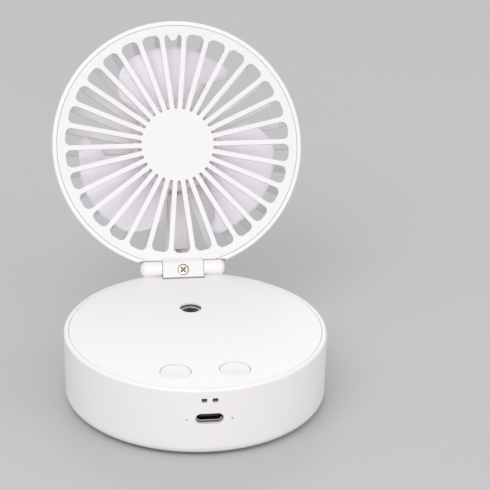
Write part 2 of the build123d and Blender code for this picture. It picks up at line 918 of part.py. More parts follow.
def stator_coils():
    """One wound coil round each tooth."""
    inner = tube_radius + stator_ring + fit_clearance
    outer = tooth_tip - tooth_foot - fit_clearance * 3
    half = tooth_width / 2
    grow = coil_wrap * inner / outer
    low = -stator_rear
    high = -stator_front
    coil = block(inner, outer, -half - grow, half + grow, low - coil_wrap, high + coil_wrap)
    coil = coil - block(0, tooth_tip, -half, half, low, high)
    coils = [Rot(0, 0, index * 360 / stator_teeth) * coil for index in range(stator_teeth)]
    return Compound(children=coils)


def motor_board():
    """The small drive board behind the coils."""
    inner = tube_radius + fit_clearance
    return tube(motor_board_radius, inner, rear_inside, rear_inside + motor_board_thickness)


def motor_bearing():
    """The long sleeve bearing in the motor tube."""
    return tube(bearing_radius, shaft_radius + shaft_running, -bearing_rear, -bearing_front)


lead_rise = head_radius - lead_inset


def lead_path():
    """The lead's centre line: along the duct, then up behind the rim to the knuckle."""
    return FilletPolyline(
        (0, -motor_board_radius, lead_depth),
        (0, -lead_rise, lead_depth),
        (0, -lead_rise, axis_z - lead_end),
        radius=lead_bend,
    )


def motor_lead():
    """The pair of wires as one round lead, from the drive board to the knuckle."""
    line = lead_path()
    return sweep(Plane(origin=line @ 0, z_dir=line % 0) * Circle(lead_radius), path=line)


def lead_way():
    """The round way that the knuckle's foot leaves for the lead."""
    top = axis_z - lead_end
    return disc(lead_radius, rear_inside, top, 0, -lead_rise)


# ---- impeller ----
def blade_point(angle, share):
    """A point of the blade's outline: its angle and its share of the way from hub to tip."""
    radius = hub_radius + share * (tip_radius - hub_radius)
    return (radius * cos(radians(angle)), radius * sin(radians(angle)))


def blade_outline():
    """One broad paddle blade along +X with a round lobe on its leading side."""
    root_share = -blade_root_sunk / (tip_radius - hub_radius)
    lead_root = blade_point(-25, root_share)
    trail_root = blade_point(43, root_share)
    lobe_start = blade_point(-43.5, 0.69)
    lobe_end = blade_point(-40, 0.9)
    lead = Spline(lead_root, blade_point(-30, 0.32), blade_point(-36, 0.49), lobe_start)
    lobe = Spline(lobe_start, blade_point(-44, 0.81), lobe_end)
    tip_end = blade_point(26, 0.88)
    tip = Spline(lobe_end, blade_point(-24, 0.94), blade_point(-8, 1.0), blade_point(12, 0.975), tip_end)
    trail = Spline(tip_end, blade_point(36, 0.72), blade_point(41.5, 0.38), trail_root)
    return make_face([lead, lobe, tip, trail, Line(trail_root, lead_root)])


def twisted_plate():
    """A thin plate along +X whose two long sides differ in height, less steep further out."""
    middle = -(blade_front + blade_rear) / 2
    rise = (blade_rear - blade_front - blade_thickness) / 2
    lift = blade_thickness / 2
    sections = []
    for radius, half in ((0, near_half_width), (base_radius, far_half_width)):
        far = half * plate_spread
        end = rise * plate_spread
        sections.append(
            make_face(
                Polyline(
                    (radius, -far, middle - end - lift),
                    (radius, far, middle + end - lift),
                    (radius, far, middle + end + lift),
                    (radius, -far, middle - end + lift),
                    close=True,
                )
            )
        )
    return loft(sections, ruled=True)


def blade():
    """One blade: its outline cut from the twisted plate, between the hub's two ends."""
    prism = extrude(Pos(0, 0, -hub_rear) * blade_outline(), amount=hub_rear - hub_front)
    one = prism & twisted_plate()
    return one - disc(hub_radius - hub_wall / 2, -hub_rear - past, 0)


def impeller():
    """The hub cap with its three blades and the sleeve that holds the rotor."""
    hub = disc(hub_radius, -hub_rear, -hub_front)
    hub = fillet(hub.edges().sort_by(Axis.Z)[-1], hub_round)
    hub = hub - disc(hub_radius - hub_wall, -hub_rear - past, can_front)
    hub = hub + tube(can_radius + hub_wall, can_radius + sleeve_gap, sleeve_short - can_rear, can_front)
    one = blade()
    for index in range(blade_count):
        hub = hub + Rot(0, 0, blade_first + index * 360 / blade_count) * one
    return hub


def rotor_can():
    """The steel cup that closes the magnetic circuit."""
    can = disc(can_radius, -can_rear, can_front)
    can = can - disc(magnet_outer, -can_rear - past, can_front - can_wall)
    return can - disc(shaft_radius, -can_rear, 0)


def magnet_ring():
    """The ring magnet inside the can."""
    return tube(magnet_outer, magnet_outer - magnet_thickness, -magnet_rear, -magnet_front)


def motor_shaft():
    """The shaft, pressed into the can and grooved for its clip."""
    groove_low = -clip_front - clip_thickness
    groove = tube(shaft_radius + past, shaft_radius - clip_groove, groove_low, -clip_front)
    return disc(shaft_radius, -shaft_rear, can_front) - groove


def shaft_clip():
    """The open ring that keeps the shaft in its bearing."""
    low = -clip_front - clip_thickness + clip_fit
    ring = tube(clip_radius, shaft_radius - clip_groove + clip_fit, low, -clip_front - clip_fit)
    half = clip_opening / 2
    return ring - block(-half, half, 0, clip_radius + past, -head_depth, 0)


def thrust_washer():
    """The washer between the can and the bearing."""
    front = can_front - can_wall
    outer = shaft_radius + washer_width
    return tube(outer, shaft_radius + sleeve_gap, front - washer_thickness, front)


base_nodes = {
    "base_shell": base_shell,
    "top_deck": top_deck,
    "foot_ring": foot_ring,
    "base_screws": base_screws,
    "battery_cell": battery_cell,
    "main_circuit_board": main_circuit_board,
    "usb_c_socket": usb_c_socket,
    "button_switches": button_switches,
    "indicator_leds": indicator_leds,
    "led_light_guides": led_light_guides,
    "atomizer_disc": atomizer_disc,
    "atomizer_seal": atomizer_seal,
    "atomizer_retainer": atomizer_retainer,
    "cotton_wick": cotton_wick,
    "water_tank": water_tank,
    "tank_fill_plug": tank_fill_plug,
    "hinge_pins": hinge_pins,
    "power_button": lambda: button(-1),
    "power_switch_plunger": lambda: plunger(-1),
    "mist_button": lambda: button(1),
    "mist_switch_plunger": lambda: plunger(1),
}

head_nodes = {
    "front_grille": front_grille,
    "rear_housing": rear_housing,
    "tongue_screw": tongue_screw,
    "hinge_bushes": hinge_bushes,
    "stator_core": stator_core,
    "stator_coils": stator_coils,
    "motor_board": motor_board,
    "motor_bearing": motor_bearing,
    "motor_lead": motor_lead,
    "impeller": impeller,
    "rotor_can": rotor_can,
    "magnet_ring": magnet_ring,
    "motor_shaft": motor_shaft,
    "shaft_clip": shaft_clip,
    "thrust_washer": thrust_washer,
}

os.makedirs("parts", exist_ok=True)
for name, make in base_nodes.items():
    export_step(make(), f"parts/{name}.step")
for name, make in head_nodes.items():
    export_step(head_plane.location * make(), f"parts/{name}.step")
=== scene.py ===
"""Finishes, moulded pieces, lamps and camera for a folding desk fan with a mist outlet.

Lengths inside the classes are in millimetres and are turned into metres when a mesh is made.
"""
import json
import logging
import math
from dataclasses import dataclass, field
from enum import Enum

import bmesh
import bpy
import numpy as np
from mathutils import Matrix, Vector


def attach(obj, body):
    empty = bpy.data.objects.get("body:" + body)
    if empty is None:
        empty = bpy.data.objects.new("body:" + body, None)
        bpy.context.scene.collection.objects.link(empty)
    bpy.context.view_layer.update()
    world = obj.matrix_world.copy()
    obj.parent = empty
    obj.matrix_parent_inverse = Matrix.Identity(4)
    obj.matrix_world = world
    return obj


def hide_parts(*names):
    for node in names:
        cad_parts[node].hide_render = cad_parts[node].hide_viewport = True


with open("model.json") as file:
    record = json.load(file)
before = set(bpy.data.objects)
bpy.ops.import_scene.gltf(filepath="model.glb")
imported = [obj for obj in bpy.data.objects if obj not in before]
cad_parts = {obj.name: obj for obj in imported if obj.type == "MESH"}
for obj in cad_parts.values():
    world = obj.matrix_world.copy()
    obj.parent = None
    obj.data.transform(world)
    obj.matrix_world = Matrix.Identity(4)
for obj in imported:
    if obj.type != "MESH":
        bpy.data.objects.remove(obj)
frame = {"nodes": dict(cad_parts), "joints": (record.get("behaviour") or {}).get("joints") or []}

MM = 0.001
WELD = 2e-6         # metres: points nearer than this are one
SLIVER = 1e-7       # metres: edges shorter than this go
CORNER_SHARE = 0.49     # of a side, at most, for each of its two rounded corners
CORNER_POINTS = 6
SPAN_POINTS = 24
BEVEL_SAMPLES = 6
MIX_FACTOR, MIX_LOW, MIX_HIGH, MIX_RESULT = 0, 6, 7, 2      # a Mix node's sockets for colours
log = logging.getLogger("desk_fan")
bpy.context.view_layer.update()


# ---------------------------------------------------------------- places
@dataclass(frozen=True)
class Seat:
    """A local frame: a place in millimetres and three directions of unit length."""

    origin: tuple[float, float, float] = (0.0, 0.0, 0.0)
    x: tuple[float, float, float] = (1.0, 0.0, 0.0)
    y: tuple[float, float, float] = (0.0, 1.0, 0.0)
    z: tuple[float, float, float] = (0.0, 0.0, 1.0)

    def place(self, points: np.ndarray) -> np.ndarray:
        """Carry local points into the fan's frame.

        Args:
            points: An array whose last axis is x, y, z in millimetres.

        Returns:
            origin + px * x + py * y + pz * z, for each point.
        """
        axes = np.array([self.x, self.y, self.z])
        return np.array(self.origin) + points @ axes

    def measure(self, points: np.ndarray) -> np.ndarray:
        """Carry points of the fan's frame into this one: the dot products with its directions."""
        axes = np.array([self.x, self.y, self.z])
        return (points - np.array(self.origin)) @ axes.T


def joint_named(name: str) -> dict:
    """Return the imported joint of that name."""
    return next(joint for joint in frame["joints"] if joint["name"] == name)


def head_seat() -> Seat:
    """Work out the head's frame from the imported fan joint.

    Returns:
        A seat on the fan's axis, with z out of the front face and y away from the hinge.
    """
    spin = joint_named("fan_spin")
    out = np.array(spin["axis"], float)
    out /= np.linalg.norm(out)
    side = np.array([1.0, 0.0, 0.0])
    up = np.cross(out, side)
    centre = np.array(spin["pos_m"], float) / MM
    return Seat(tuple(centre), tuple(side), tuple(up), tuple(out))


def node_box(node: str, seat: Seat = Seat()) -> tuple[np.ndarray, np.ndarray]:
    """Measure the box of a CAD node.

    Args:
        node: The node's name.
        seat: The frame to measure in.

    Returns:
        The lowest and the highest corner, in millimetres.
    """
    mesh = frame["nodes"][node].data
    flat = np.empty(len(mesh.vertices) * 3, np.float32)
    mesh.vertices.foreach_get("co", flat)
    spots = seat.measure(flat.reshape(-1, 3) / MM)
    return spots.min(0), spots.max(0)


# ---------------------------------------------------------------- meshes
def grid_quads(rows: int, cols: int, closed: bool) -> np.ndarray:
    """Return the quads of a grid whose point (i, j) has the index i * cols + j.

    Args:
        rows: Points along the first parameter.
        cols: Points along the second parameter.
        closed: Join the last column to the first.

    Returns:
        An array of four indices for each quad.
    """
    i, j = np.meshgrid(np.arange(rows - 1), np.arange(cols if closed else cols - 1), indexing="ij")
    after = (j + 1) % cols
    quads = np.stack([i * cols + j, (i + 1) * cols + j, (i + 1) * cols + after, i * cols + after], -1)
    return quads.reshape(-1, 4)


@dataclass
class Shape:
    """Points and quads collected from surfaces, made into one object."""

    points: list[np.ndarray] = field(default_factory=list)
    quads: list[np.ndarray] = field(default_factory=list)
    count: int = 0

    def add(self, surface: np.ndarray, closed: bool = True) -> "Shape":
        """Add a grid of points, and return the shape so that calls can follow each other.

        Args:
            surface: The grid, whose last axis is x, y, z.
            closed: Join the grid's last column to its first.

        Returns:
            The shape itself.
        """
        rows, cols = surface.shape[:2]
        self.quads.append(grid_quads(rows, cols, closed) + self.count)
        self.points.append(surface.reshape(-1, 3))
        self.count += rows * cols
        return self

    def mesh(self, name: str, seat: Seat) -> bpy.types.Mesh:
        """Put the collected quads into a mesh.

        Args:
            name: The mesh's name.
            seat: The frame that the points are given in.

        Returns:
            The mesh, with its points in the fan's frame, in metres.
        """
        points = seat.place(np.concatenate(self.points)) * MM
        quads = np.concatenate(self.quads)
        mesh = bpy.data.meshes.new(name)
        mesh.vertices.add(len(points))
        mesh.vertices.foreach_set("co", points.astype(np.float32).ravel())
        mesh.loops.add(quads.size)
        mesh.loops.foreach_set("vertex_index", quads.astype(np.int32).ravel())
        mesh.polygons.add(len(quads))
        mesh.polygons.foreach_set("loop_start", np.arange(0, quads.size, 4, dtype=np.int32))
        mesh.update(calc_edges=True)
        return mesh

    def build(self, name: str, seat: Seat, sharp_degrees: float = 35.0) -> bpy.types.Object:
        """Make the object, with doubles welded, faces outwards and smooth shading.

        Args:
            name: The object's name.
            seat: The frame that the points are given in.
            sharp_degrees: Edges that turn by more than this stay sharp.

        Returns:
            The object, at the origin, with its place in its mesh.
        """
        mesh = self.mesh(name, seat)
        work = bmesh.new()
        work.from_mesh(mesh)
        bmesh.ops.remove_doubles(work, verts=work.verts, dist=WELD)
        bmesh.ops.dissolve_degenerate(work, edges=work.edges, dist=SLIVER)
        bmesh.ops.recalc_face_normals(work, faces=work.faces)
        work.to_mesh(mesh)
        work.free()
        mesh.polygons.foreach_set("use_smooth", np.ones(len(mesh.polygons), bool))
        mesh.set_sharp_from_angle(angle=math.radians(sharp_degrees))
        piece = bpy.data.objects.new(name, mesh)
        bpy.context.scene.collection.objects.link(piece)
        return piece


def turned(profile: np.ndarray, steps: int) -> np.ndarray:
    """Turn a profile about the z axis.

    Args:
        profile: Points (radius, z) along the outline.
        steps: Points round the turn.

    Returns:
        The grid (radius * cos a, radius * sin a, z), closed in its second parameter.
    """
    angle = np.linspace(0, 2 * np.pi, steps, endpoint=False)
    radius, height = profile[:, :1], profile[:, 1:]
    return np.stack([radius * np.cos(angle), radius * np.sin(angle), height + 0 * angle], -1)


def softened(corners: list[tuple[float, float, float]]) -> np.ndarray:
    """Round the corners of a profile.

    Each corner is (radius, z, rounding). A corner point C with rounding q is replaced by the
    quadratic curve (1-t)^2 A + 2t(1-t) C + t^2 B, where A and B lie at q from C on its two sides.

    Args:
        corners: The corners in order, open at both ends.

    Returns:
        An array of (radius, z) points.
    """
    spots = np.array([corner[:2] for corner in corners], float)
    rounds = np.array([corner[2] for corner in corners], float)
    pieces = [spots[:1]]
    t = np.linspace(0, 1, CORNER_POINTS)[:, None]
    for index in range(1, len(spots) - 1):
        corner = spots[index]
        back = spots[index - 1] - corner
        ahead = spots[index + 1] - corner
        back_length, ahead_length = np.linalg.norm(back), np.linalg.norm(ahead)
        reach = min(rounds[index], CORNER_SHARE * back_length, CORNER_SHARE * ahead_length)
        if reach <= 0:
            pieces.append(spots[index: index + 1])
            continue
        start = corner + back / back_length * reach
        end = corner + ahead / ahead_length * reach
        pieces.append((1 - t) ** 2 * start + 2 * t * (1 - t) * corner + t ** 2 * end)
    pieces.append(spots[-1:])
    return np.concatenate(pieces)


def through(points: list[tuple[float, float]], count: int) -> np.ndarray:
    """Carry a smooth curve through a few points.

    Each span is a Catmull-Rom cubic, and the samples are spread evenly over the curve's length.

    Args:
        points: The points that the curve passes through.
        count: Samples along the whole curve.

    Returns:
        An array of count points.
    """
    knots = np.array(points, float)
    padded = np.concatenate([2 * knots[:1] - knots[1:2], knots, 2 * knots[-1:] - knots[-2:-1]])
    t = np.linspace(0, 1, SPAN_POINTS, endpoint=False)[:, None, None]
    p0, p1, p2, p3 = padded[:-3], padded[1:-2], padded[2:-1], padded[3:]
    bend = 2 * p0 - 5 * p1 + 4 * p2 - p3
    twist = 3 * p1 - p0 - 3 * p2 + p3
    cubic = 0.5 * (2 * p1 + (p2 - p0) * t + bend * t ** 2 + twist * t ** 3)
    dense = np.concatenate([cubic.transpose(1, 0, 2).reshape(-1, 2), knots[-1:]])
    length = np.concatenate([[0], np.cumsum(np.linalg.norm(np.diff(dense, axis=0), axis=1))])
    even = np.linspace(0, length[-1], count)
    return np.stack([np.interp(even, length, dense[:, k]) for k in (0, 1)], -1)


# ---------------------------------------------------------------- shaders
class Op(Enum):
    """The operations of a Math node that the finishes use."""

    ADD = "ADD"
    SUBTRACT = "SUBTRACT"
    MULTIPLY = "MULTIPLY"
    POWER = "POWER"
    ABOVE = "GREATER_THAN"
    BELOW = "LESS_THAN"
    SINE = "SINE"
    SIZE = "ABSOLUTE"


class Signal:
    """A shader socket that takes part in Python arithmetic by adding Math nodes."""

    def __init__(self, tree: bpy.types.NodeTree, socket: bpy.types.NodeSocket) -> None:
        """Keep the node tree and the socket."""
        self.tree = tree
        self.socket = socket

    def _math(self, operation: Op, first: "Signal | float", second: "Signal | float") -> "Signal":
        """Add one Math node.

        Args:
            operation: The Math node's operation.
            first: The first value or link.
            second: The second value or link.

        Returns:
            The node's output.
        """
        node = self.tree.nodes.new("ShaderNodeMath")
        node.operation = operation.value
        for index, value in enumerate((first, second)):
            if isinstance(value, Signal):
                self.tree.links.new(value.socket, node.inputs[index])
            else:
                node.inputs[index].default_value = value
        return Signal(self.tree, node.outputs[0])

    def __add__(self, other: "Signal | float") -> "Signal":
        """Return self + other."""
        return self._math(Op.ADD, self, other)

    __radd__ = __add__

    def __sub__(self, other: "Signal | float") -> "Signal":
        """Return self - other."""
        return self._math(Op.SUBTRACT, self, other)

    def __rsub__(self, other: float) -> "Signal":
        """Return other - self."""
        return self._math(Op.SUBTRACT, other, self)

    def __mul__(self, other: "Signal | float") -> "Signal":
        """Return self * other."""
        return self._math(Op.MULTIPLY, self, other)

    __rmul__ = __mul__

    def __pow__(self, other: float) -> "Signal":
        """Return self to a power."""
        return self._math(Op.POWER, self, other)

    def __gt__(self, other: "Signal | float") -> "Signal":
        """Return 1 where self is greater than other, and 0 elsewhere."""
        return self._math(Op.ABOVE, self, other)

    def __lt__(self, other: "Signal | float") -> "Signal":
        """Return 1 where self is less than other, and 0 elsewhere."""
        return self._math(Op.BELOW, self, other)

    def __abs__(self) -> "Signal":
        """Return self without its sign."""
        return self._math(Op.SIZE, self, 0.0)

    def sine(self) -> "Signal":
        """Return the sine of self."""
        return self._math(Op.SINE, self, 0.0)


class Bench:
    """A material being made: its node tree, its shader and the one way to add a node."""

    def __init__(self, name: str) -> None:
        """Start a material with a bare Principled shader.

        Args:
            name: The material's name.
        """
        self.material = bpy.data.materials.new(name)
        self.material.use_nodes = True
        self.tree = self.material.node_tree
        self.shader = self.tree.nodes["Principled BSDF"]

    def node(
        self, kind: str, settings: dict | None = None, values: dict | None = None, out: int | str = 0
    ) -> Signal:
        """Add a node.

        Args:
            kind: The node's type.
            settings: Its own properties, which are set first.
            values: Its sockets' values or links, by name or number.
            out: The output that is wanted.

        Returns:
            That output as a signal.
        """
        node = self.tree.nodes.new(kind)
        for key, value in (settings or {}).items():
            setattr(node, key, value)
        for key, value in (values or {}).items():
            if isinstance(value, Signal):
                self.tree.links.new(value.socket, node.inputs[key])
            else:
                node.inputs[key].default_value = value
        return Signal(self.tree, node.outputs[out])

    def where(self) -> Signal:
        """Return the Object coordinates."""
        return self.node("ShaderNodeTexCoord", out="Object")

    def noise(self, scale: float, detail: float = 2.0, place: Signal | None = None) -> Signal:
        """Return noise from 0 to 1 whose features are about 1 / scale metres wide."""
        values = {"Vector": place or self.where(), "Scale": scale, "Detail": detail}
        return self.node("ShaderNodeTexNoise", values=values)

    def mix(self, factor: Signal, low: "Signal | tuple", high: "Signal | tuple") -> Signal:
        """Mix two colours.

        Args:
            factor: How much of the second colour shows, from 0 to 1.
            low: The colour where the factor is 0.
            high: The colour where the factor is 1.

        Returns:
            The mixed colour.
        """
        ends = [end if isinstance(end, Signal) else (*end, 1) for end in (low, high)]
        values = {MIX_FACTOR: factor, MIX_LOW: ends[0], MIX_HIGH: ends[1]}
        return self.node("ShaderNodeMix", {"data_type": "RGBA"}, values, out=MIX_RESULT)

    def axis(self, place: Signal, number: int) -> Signal:
        """Return one coordinate of a place: 0 for x, 1 for y and 2 for z."""
        return self.node("ShaderNodeSeparateXYZ", values={"Vector": place}, out=number)

    def feed(self, **sockets: "Signal | float | tuple") -> None:
        """Set or link the shader's sockets.

        Args:
            sockets: Values or links by the socket's name, with an underscore for each space.
        """
        for key, value in sockets.items():
            socket = self.shader.inputs[key.replace("_", " ")]
            if isinstance(value, Signal):
                self.tree.links.new(value.socket, socket)
            else:
                socket.default_value = value

    def relief(self, height: Signal, depth: float, rounding: float = 0.0) -> Signal:
        """Round the edges of a surface, then raise it by a pattern.

        Args:
            height: The pattern, from 0 to 1.
            depth: How far 1 stands above 0, in metres.
            rounding: The radius of the eased edges, in metres.

        Returns:
            The normal.
        """
        values = {"Height": height, "Distance": depth, "Strength": 1.0}
        if rounding:
            bevel = {"samples": BEVEL_SAMPLES}
            values["Normal"] = self.node("ShaderNodeBevel", bevel, {"Radius": rounding})
        return self.node("ShaderNodeBump", values=values)


Colour = tuple[float, float, float]


@dataclass(frozen=True)
class Plastic:
    """Moulded plastic: one colour with slight flow marks, a fine spark-eroded grain, eased edges."""

    name: str
    colour: Colour
    roughness: float = 0.34
    roughness_spread: float = 0.06
    coat: float = 0.12
    coat_roughness: float = 0.22
    flow_scale: float = 38.0
    flow_detail: float = 3.0
    drift: float = 0.024
    grain_scale: float = 4200.0
    grain_depth: float = 4e-6
    edge_round: float = 1.6e-4
    subsurface: float = 0.0
    scatter: Colour = (0.0012, 0.001, 0.0011)

    def make(self) -> bpy.types.Material:
        """Make the material.

        Colour runs from colour to colour * (1 - drift) with the flow noise, roughness is
        roughness + spread * (flow - 0.5), and the height is fine noise.

        Returns:
            The material.
        """
        bench = Bench(self.name)
        flow = bench.noise(self.flow_scale, self.flow_detail)
        grain = bench.noise(self.grain_scale)
        shade = tuple(part * (1 - self.drift) for part in self.colour)
        bench.feed(
            Base_Color=bench.mix(flow, self.colour, shade),
            Roughness=flow * self.roughness_spread + (self.roughness - self.roughness_spread / 2),
            Normal=bench.relief(grain, self.grain_depth, self.edge_round),
        )
        bench.feed(Coat_Weight=self.coat, Coat_Roughness=self.coat_roughness)
        bench.feed(Subsurface_Weight=self.subsurface, Subsurface_Radius=self.scatter)
        return bench.material


@dataclass(frozen=True)
class Metal:
    """Plated, turned or drawn metal with fine lines and slight tarnish."""

    name: str
    colour: Colour
    roughness: float = 0.28
    line_scale: float = 5200.0
    line_depth: float = 3e-6
    edge_round: float = 8e-5
    tarnish: Colour = (0.22, 0.18, 0.14)
    tarnish_gain: float = 0.72
    patch_scale: float = 900.0
    patch_detail: float = 4.0
    patch_power: float = 3.0
    patch_roughness: float = 0.5

    def make(self) -> bpy.types.Material:
        """Make the material: the tarnish is noise raised to a power, so it keeps to small patches.

        Returns:
            The material.
        """
        bench = Bench(self.name)
        patches = bench.noise(self.patch_scale, self.patch_detail) ** self.patch_power
        lines = bench.noise(self.line_scale, 1.0)
        bench.feed(
            Base_Color=bench.mix(patches * self.tarnish_gain, self.colour, self.tarnish),
            Roughness=patches * self.patch_roughness + self.roughness,
            Normal=bench.relief(lines, self.line_depth, self.edge_round),
            Metallic=1.0,
        )
        return bench.material


@dataclass(frozen=True)
class Rubber:
    """Soft rubber, silicone or wire sleeve with a dusty bloom."""

    name: str
    colour: Colour
    bloom: Colour = (0.16, 0.16, 0.16)
    roughness: float = 0.72
    dust_scale: float = 260.0
    dust_detail: float = 5.0
    dust_power: float = 2.0
    dust_roughness: float = 0.12
    skin_scale: float = 5200.0
    skin_depth: float = 1.2e-5
    edge_round: float = 1.2e-4

    def make(self) -> bpy.types.Material:
        """Make the material: the bloom grows with a power of coarse noise.

        Returns:
            The material.
        """
        bench = Bench(self.name)
        dust = bench.noise(self.dust_scale, self.dust_detail)
        skin = bench.noise(self.skin_scale)
        bench.feed(
            Base_Color=bench.mix(dust ** self.dust_power, self.colour, self.bloom),
            Roughness=dust * self.dust_roughness + self.roughness,
            Normal=bench.relief(skin, self.skin_depth, self.edge_round),
        )
        return bench.material


@dataclass(frozen=True)
class Laminate:
    """Circuit board: solder mask over copper tracks that run in straight lanes."""

    name: str
    mask: Colour
    track: Colour
    lane: float = 1.1e-3
    wander_scale: float = 320.0
    threshold: float = 0.95
    roughness: float = 0.38
    track_polish: float = 0.08
    track_height: float = 2e-5

    def make(self) -> bpy.types.Material:
        """Make the material: a track shows where sin(2 pi x / lane) + noise passes a threshold.

        Returns:
            The material.
        """
        bench = Bench(self.name)
        place = bench.where()
        wave = (bench.axis(place, 0) * (2 * math.pi / self.lane)).sine()
        tracks = (wave + bench.noise(self.wander_scale, 1.0, place)) > self.threshold
        bench.feed(
            Base_Color=bench.mix(tracks, self.mask, self.track),
            Roughness=self.roughness - tracks * self.track_polish,
            Normal=bench.relief(tracks, self.track_height),
        )
        return bench.material


@dataclass(frozen=True)
class Fibre:
    """Compressed cotton or wound wire: many fine strands along one direction."""

    name: str
    colour: Colour
    hollow: Colour
    pitch: float = 3.0e-4
    roughness: float = 0.8
    metallic: float = 0.0
    wander_scale: float = 700.0
    wander_reach: float = 3.0
    strand_polish: float = 0.1
    strand_height: float = 6e-5

    def make(self) -> bpy.types.Material:
        """Make the material: strand = 0.5 + 0.5 sin(2 pi z / pitch + reach * noise).

        Returns:
            The material.
        """
        bench = Bench(self.name)
        place = bench.where()
        wander = bench.noise(self.wander_scale, place=place) * self.wander_reach
        wave = (bench.axis(place, 2) * (2 * math.pi / self.pitch) + wander).sine()
        strand = wave * 0.5 + 0.5
        bench.feed(
            Base_Color=bench.mix(strand, self.hollow, self.colour),
            Roughness=self.roughness - strand * self.strand_polish,
            Normal=bench.relief(strand, self.strand_height),
            Metallic=self.metallic,
        )
        return bench.material


@dataclass(frozen=True)
class PiezoPlate:
    """The vibrating plate: bright annealed rim, a brown fired middle and a near-black ring between them.
    """

    name: str
    centre: tuple[float, float]
    middle_radius: float
    sunk_ring_radius: float
    bright: Colour = (0.9, 0.88, 0.86)
    worn: Colour = (0.6, 0.58, 0.56)
    dark_ring: Colour = (0.02, 0.018, 0.018)
    brown: Colour = (0.022, 0.010, 0.009)
    grain_scale: float = 2600.0
    grain_detail: float = 3.0
    grain_depth: float = 4e-6
    worn_share: float = 0.4
    roughness: float = 0.25
    grain_roughness: float = 0.2
    fired_roughness: float = 0.5

    def make(self) -> bpy.types.Material:
        """Make the material: colour rings from the distance to the plate's centre.

        Returns:
            The material.
        """
        bench = Bench(self.name)
        offset = (-self.centre[0] * MM, -self.centre[1] * MM, 0.0)
        values = {"Vector": bench.where(), "Location": offset, "Scale": (1, 1, 0)}
        moved = bench.node("ShaderNodeMapping", values=values)
        reach = bench.node("ShaderNodeVectorMath", {"operation": "LENGTH"}, {0: moved}, out="Value")
        middle = reach < self.middle_radius * MM
        # the sunk ring between the middle and the rim is coloured near-black
        dark_ring_mask = (reach < self.sunk_ring_radius * MM) * (reach > self.middle_radius * MM)
        grain = bench.noise(self.grain_scale, self.grain_detail)
        plate = bench.mix(grain * self.worn_share, self.bright, self.worn)
        bench.feed(
            Base_Color=bench.mix(middle, bench.mix(dark_ring_mask, plate, self.dark_ring), self.brown),
            Metallic=1 - (middle + dark_ring_mask),
            Roughness=grain * self.grain_roughness + self.roughness + middle * self.fired_roughness,
            Normal=bench.relief(grain, self.grain_depth),
        )
        return bench.material


@dataclass(frozen=True)
class SocketSteel:
    """The socket: bright steel lip, painted shade on the steel inside it and a black tongue, told apart by
    place.
    """

    name: str
    front: float
    middle: float
    tongue_half: float = 0.42
    lip_depth: float = 0.7
    bright: Colour = (0.82, 0.77, 0.77)
    # painted shade: the dark colour given to the steel inside the socket
    painted_shade: Colour = (0.20, 0.19, 0.20)
    black: Colour = (0.02, 0.02, 0.022)
    wear_scale: float = 1500.0
    wear_detail: float = 3.0
    wear_depth: float = 3e-6
    wear_roughness: float = 0.15
    roughness: float = 0.32
    edge_round: float = 8e-5

    def make(self) -> bpy.types.Material:
        """Make the material: tongue where |z - middle| is small, lip where y is near the front; the steel
        behind the lip gets a dark colour that is painted shade.

        Returns:
            The material.
        """
        bench = Bench(self.name)
        place = bench.where()
        lip = bench.axis(place, 1) < (self.front + self.lip_depth) * MM
        tongue = abs(bench.axis(place, 2) - self.middle * MM) < self.tongue_half * MM
        wear = bench.noise(self.wear_scale, self.wear_detail, place)
        # painted shade: the steel behind the bright lip takes the dark colour
        steel = bench.mix(lip, self.painted_shade, self.bright)
        bench.feed(
            Base_Color=bench.mix(tongue, steel, self.black),
            Metallic=1 - tongue,
            Roughness=wear * self.wear_roughness + self.roughness,
            Normal=bench.relief(wear, self.wear_depth, self.edge_round),
        )
        return bench.material


Finish = Plastic | Metal | Rubber | Laminate | Fibre | PiezoPlate | SocketSteel

WHITE = Plastic("white_shell", (0.87, 0.846, 0.85), roughness=0.36)
# painted light: the deck's copy of the white plastic is a touch lighter than the shell and the cover,
# standing for the light from above
DECK_PAINTED_LIGHT = Plastic("white_deck_painted_light", (0.87, 0.856, 0.86), roughness=0.42, coat=0.08)
COVER = Plastic("white_cover", (0.83, 0.815, 0.82), roughness=0.33, coat=0.2)
BUTTON = Plastic("white_button", (0.82, 0.805, 0.81), roughness=0.3, coat=0.2, edge_round=1.0e-4)
BLADE = Plastic("blade_plastic", (0.88, 0.85, 0.92), roughness=0.3, coat=0.3, subsurface=0.5, edge_round=0)
BLACK_PLASTIC = Plastic("black_plastic", (0.02, 0.02, 0.022), roughness=0.45, coat=0.0)
SMOKED = Plastic("smoked_guide", (0.035, 0.03, 0.03), roughness=0.12, coat=0.6)
CLEAR = Plastic("milky_tank", (0.62, 0.66, 0.69), roughness=0.18, coat=0.4, subsurface=0.5)
NATURAL = Plastic("natural_acetal", (0.68, 0.67, 0.62), roughness=0.42, coat=0.0)
WRAP = Plastic("cell_wrap", (0.03, 0.16, 0.34), roughness=0.2, coat=0.5)
MAGNET = Plastic("bonded_magnet", (0.06, 0.06, 0.062), roughness=0.6, coat=0.0)
SCREW = Metal("screw_nickel", (0.86, 0.83, 0.79), roughness=0.38, tarnish_gain=0.8)
